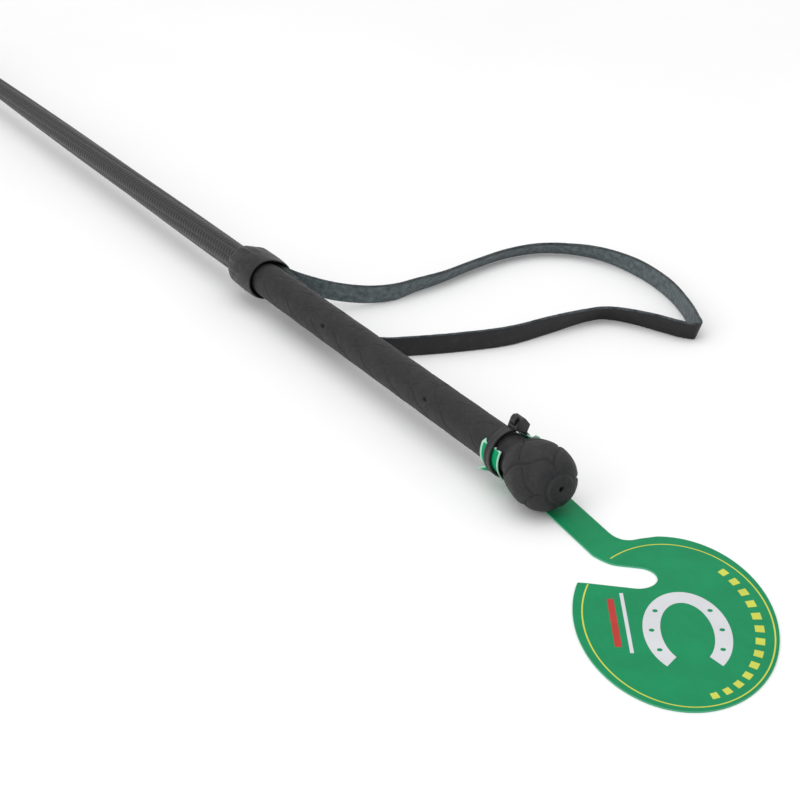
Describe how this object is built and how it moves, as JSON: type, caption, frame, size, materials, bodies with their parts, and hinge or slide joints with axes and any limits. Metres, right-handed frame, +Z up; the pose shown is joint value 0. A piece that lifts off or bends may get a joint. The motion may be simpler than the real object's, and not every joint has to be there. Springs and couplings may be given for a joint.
{
  "type": "riding crop",
  "caption": "Short riding crop with a braided tapered shaft, moulded grip with ball knob, leather wrist loop and folded leather keeper, and a swing tag tied to its neck.",
  "frame": {"origin": "centre of the footprint, on the surface that the crop lies on", "axes": "+X along the crop towards the knob, +Z up, +Y to the side that the wrist loop lies on"},
  "size_m": [0.7808, 0.194, 0.0271],
  "materials": {
    "glass_fibre": "plain resin",
    "filler": "plain moulded",
    "braid": "herringbone braid of flat polished thread",
    "grip_rubber": "matt moulded rubber, embossed plait",
    "collar_leather": "black, creased",
    "strap_leather": "black grain outside, grey suede inside",
    "keeper_leather": "black grain outside, grey-green suede inside",
    "binding_thread": "waxed, glossy",
    "wrap_tape": "waxed tape",
    "nylon": "satin moulded",
    "tag_sheet": "printed sheet, satin"
  },
  "bodies": {
    "crop": {"core_rod": "glass_fibre", "shaft_filler": "filler", "braided_cover": "braid", "rubber_grip": "grip_rubber", "collar": "collar_leather", "loop_binding": "binding_thread", "tip_wrap": "wrap_tape", "keeper_whipping": "binding_thread", "binding_ring_1": "binding_thread", "binding_ring_2": "binding_thread", "binding_ring_3": "binding_thread"},
    "loop": {"wrist_loop": "strap_leather"},
    "keeper": {"keeper": "keeper_leather"},
    "tag": {"cable_tie": "nylon", "swing_tag": "tag_sheet"}
  },
  "joints": [
    {"name": "loop_swing", "type": "hinge", "parent": "crop", "child": "loop", "pos_m": [0.06622, -0.04568, 0.0131], "axis": [0, 0, 1], "range_deg": [0, 70], "deforming": ["wrist_loop"]},
    {"name": "keeper_flap", "type": "hinge", "parent": "crop", "child": "keeper", "pos_m": [-0.31878, -0.05388, 0.0131], "axis": [0, 1, 0], "range_deg": [-40, 40], "deforming": ["keeper"]},
    {"name": "tie_turn", "type": "hinge", "parent": "crop", "child": "tag", "pos_m": [0.24212, -0.05388, 0.0131], "axis": [1, 0, 0], "continuous": true}
  ]
}
